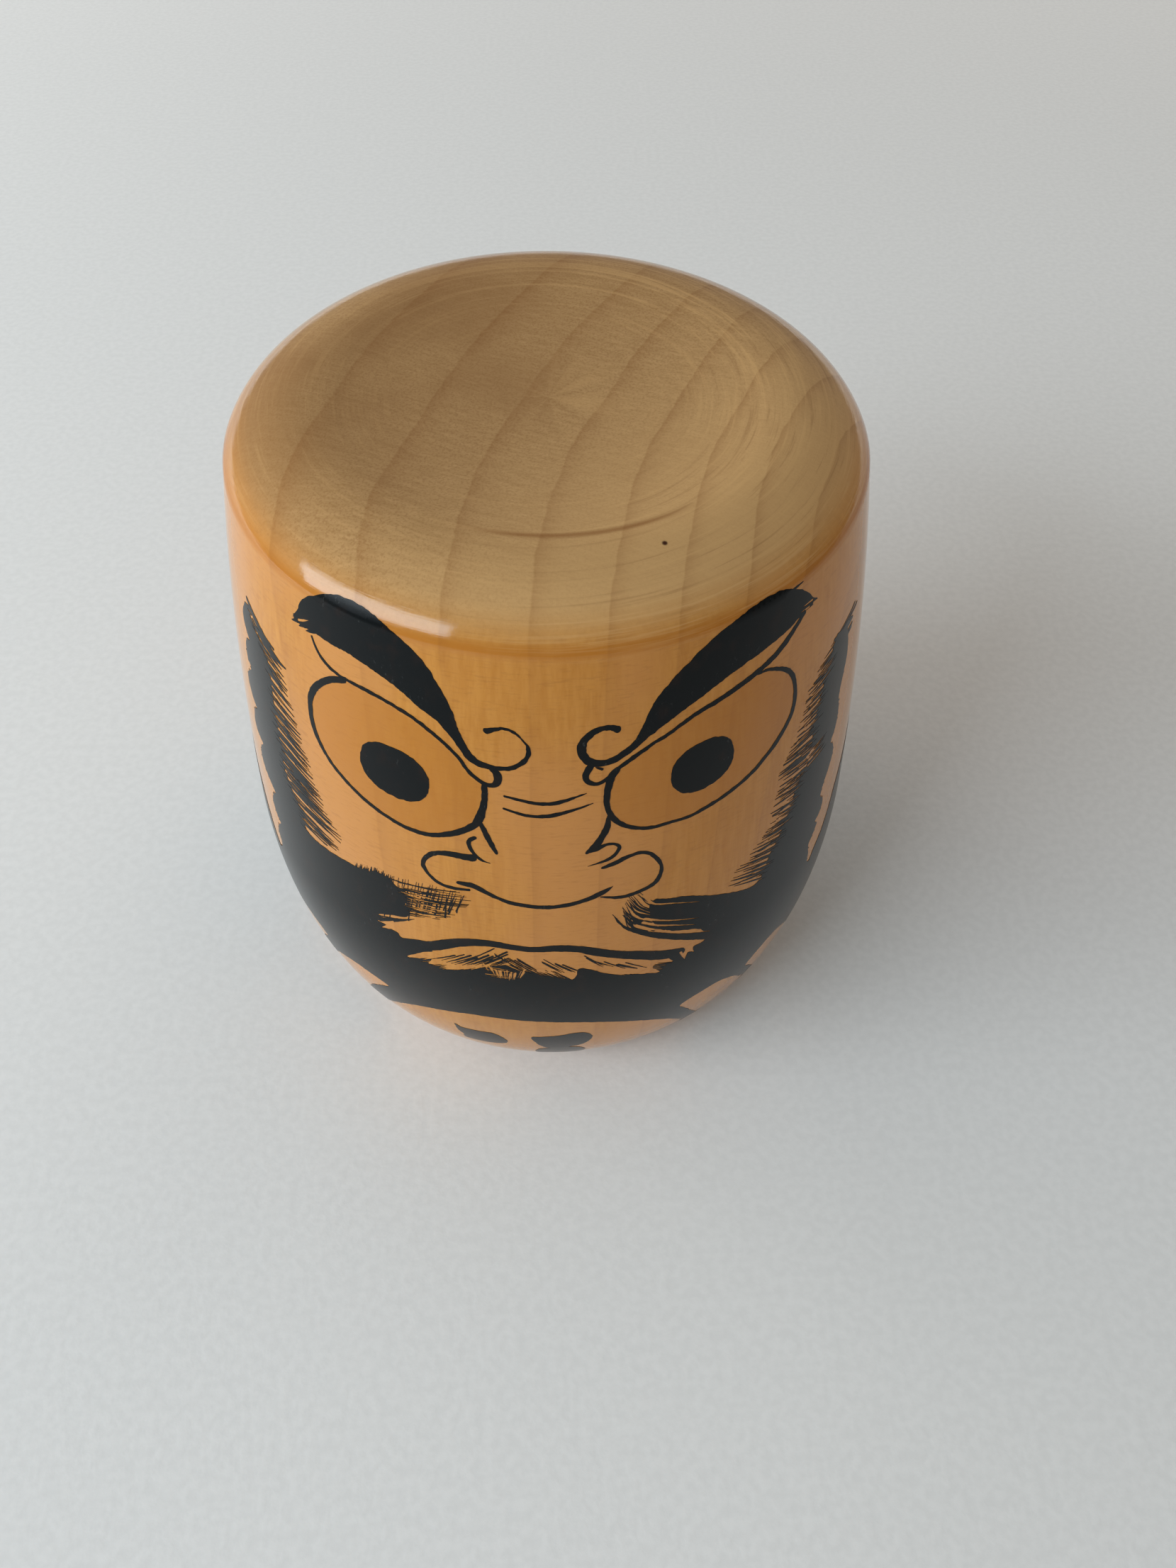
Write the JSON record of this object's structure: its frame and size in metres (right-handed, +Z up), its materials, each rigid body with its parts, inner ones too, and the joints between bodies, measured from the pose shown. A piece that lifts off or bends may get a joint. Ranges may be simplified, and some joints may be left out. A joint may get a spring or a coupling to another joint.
{
  "type": "daruma doll",
  "caption": "Barrel-shaped turned wooden daruma doll with a dished top, a rounded foot and a brushed ink face.",
  "frame": {"origin": "centre of the base, on the surface that the doll stands on", "axes": "+Z up along the turned axis; the painted face looks towards -Y; +X is to the viewer's right"},
  "size_m": [0.09, 0.09, 0.0985],
  "materials": {
    "waxed_wood": "satin clear finish over warm orange-tan wood, browner end grain on top",
    "bare_wood": "bare turned wood",
    "brush_ink": "black brush ink, satin, dry at the ends of the strokes"
  },
  "bodies": {
    "root": {"turned_body": "waxed_wood", "base_plug": "bare_wood"}
  },
  "joints": []
}
